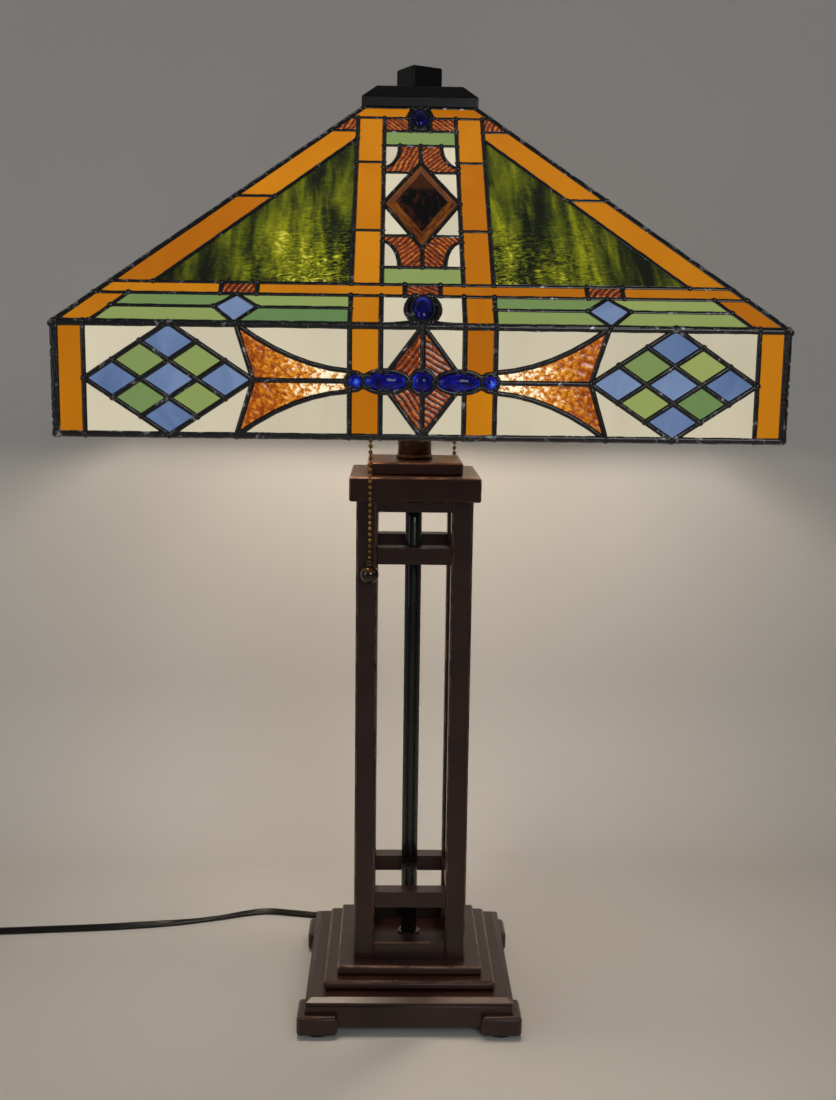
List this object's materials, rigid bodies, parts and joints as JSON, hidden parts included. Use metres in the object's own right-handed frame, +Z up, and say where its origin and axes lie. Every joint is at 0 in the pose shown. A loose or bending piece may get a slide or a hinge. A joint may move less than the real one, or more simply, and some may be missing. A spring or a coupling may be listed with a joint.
{
  "type": "table lamp",
  "caption": "Table lamp with a square leaded art-glass shade on an open four-post column, stepped square base, pull-chain sockets and a flat mains cord.",
  "frame": {"origin": "on the table under the middle of the base", "axes": "+Z up, front face towards -Y, +X to the right seen from the front"},
  "size_m": [0.6272, 0.4124, 0.6653],
  "materials": {
    "mahogany_bronze": "dark mahogany bronze, satin",
    "worn_bronze": "mahogany bronze with copper showing at the edges",
    "black_tube": "black satin",
    "dark_cap_metal": "near-black bronze, satin",
    "felt": "black felt",
    "raw_iron": "raw cast iron",
    "black_plate": "black painted sheet",
    "screw_steel": "zinc plated",
    "plated_pipe": "brass plated steel, threaded",
    "cluster_brass": "aged brass",
    "socket_brass": "polished brass, slightly aged",
    "liner_card": "insulating card",
    "switch_phenolic": "black phenolic",
    "bulb_screw": "rolled screw cap",
    "bulb_glow": "frosted, lit",
    "chain_brass": "aged brass beads",
    "ball_bronze": "dark aged brass",
    "orange_art_glass": "opalescent orange, lit from behind",
    "mahogany_art_glass": "ripple mahogany, lit from behind",
    "white_art_glass": "opalescent cream, lit from behind",
    "green_art_glass": "opalescent green, lit from behind",
    "blue_art_glass": "opalescent blue, lit from behind",
    "streaky_art_glass": "streaky green and yellow, lit from behind",
    "amber_art_glass": "granite-textured amber, lit from behind",
    "bevelled_glass": "bevelled dark amber",
    "cobalt_glass": "glossy cobalt",
    "patina_lead": "black patina over solder, silvery where rubbed",
    "brown_cord": "dark brown",
    "brown_plug": "dark brown",
    "blade_brass": "brass"
  },
  "bodies": {
    "stand": {"base_tray": "mahogany_bronze", "base_feet": "mahogany_bronze", "felt_pads": "felt", "tier_lower": "mahogany_bronze", "tier_upper": "mahogany_bronze", "base_weight": "raw_iron", "base_cover": "black_plate", "cover_screws": "screw_steel", "column_posts": "mahogany_bronze", "top_rails": "mahogany_bronze", "middle_rails": "mahogany_bronze", "bottom_rails": "mahogany_bronze", "cap_plate_large": "mahogany_bronze", "cap_plate_small": "mahogany_bronze", "centre_tube": "black_tube", "tube_washer": "black_tube", "lamp_pipe": "plated_pipe", "pipe_nuts": "plated_pipe", "neck_ring": "worn_bronze", "neck_tube": "worn_bronze", "cluster_body": "cluster_brass", "cluster_cover": "cluster_brass", "socket_nipples": "plated_pipe", "socket_cap_left": "socket_brass", "socket_cap_right": "socket_brass", "socket_shell_left": "socket_brass", "socket_shell_right": "socket_brass", "socket_liners": "liner_card", "switch_bodies": "switch_phenolic", "chain_guide_left": "socket_brass", "chain_guide_right": "socket_brass", "riser_rod": "plated_pipe", "rest_washer": "cluster_brass", "cord_bushing": "brown_cord", "cord_tube": "brown_cord", "cord_coil": "brown_cord", "plug_body": "brown_plug", "plug_blades": "blade_brass"},
    "shade": {"vase_cap": "dark_cap_metal", "orange_glass": "orange_art_glass", "mahogany_glass": "mahogany_art_glass", "white_glass": "white_art_glass", "green_glass": "green_art_glass", "blue_glass": "blue_art_glass", "streaky_glass": "streaky_art_glass", "amber_glass": "amber_art_glass", "bevelled_jewels": "bevelled_glass", "cobalt_jewels": "cobalt_glass", "roof_leading": "patina_lead", "skirt_leading": "patina_lead", "edge_solder": "patina_lead"},
    "finial": {"finial": "dark_cap_metal"},
    "bulb_left": {"bulb_base_left": "bulb_screw", "bulb_glass_left": "bulb_glow"},
    "bulb_right": {"bulb_base_right": "bulb_screw", "bulb_glass_right": "bulb_glow"},
    "pull_left": {"pull_chain_left": "chain_brass", "pull_ball_left": "ball_bronze"},
    "pull_right": {"pull_chain_right": "chain_brass", "pull_ball_right": "ball_bronze"}
  },
  "joints": [
    {"name": "shade_swivel", "type": "hinge", "parent": "stand", "child": "shade", "pos_m": [0, 0, 0.649], "axis": [0, 0, 1], "continuous": true},
    {"name": "finial_turn", "type": "hinge", "parent": "stand", "child": "finial", "pos_m": [0, 0, 0.649], "axis": [0, 0, 1], "continuous": true},
    {"name": "bulb_left_turn", "type": "hinge", "parent": "stand", "child": "bulb_left", "pos_m": [0, 0, 0.43], "axis": [-0.7745, -0.2667, 0.5736], "continuous": true},
    {"name": "bulb_right_turn", "type": "hinge", "parent": "stand", "child": "bulb_right", "pos_m": [0, 0, 0.43], "axis": [0.7745, 0.2667, 0.5736], "continuous": true},
    {"name": "pull_left_slide", "type": "slide", "parent": "stand", "child": "pull_left", "axis": [0, 0, -1], "range_m": [0, 0.008], "stiffness_N_per_m": 150, "springref_m": -0.003},
    {"name": "pull_right_slide", "type": "slide", "parent": "stand", "child": "pull_right", "axis": [0, 0, -1], "range_m": [0, 0.008], "stiffness_N_per_m": 150, "springref_m": -0.003}
  ]
}
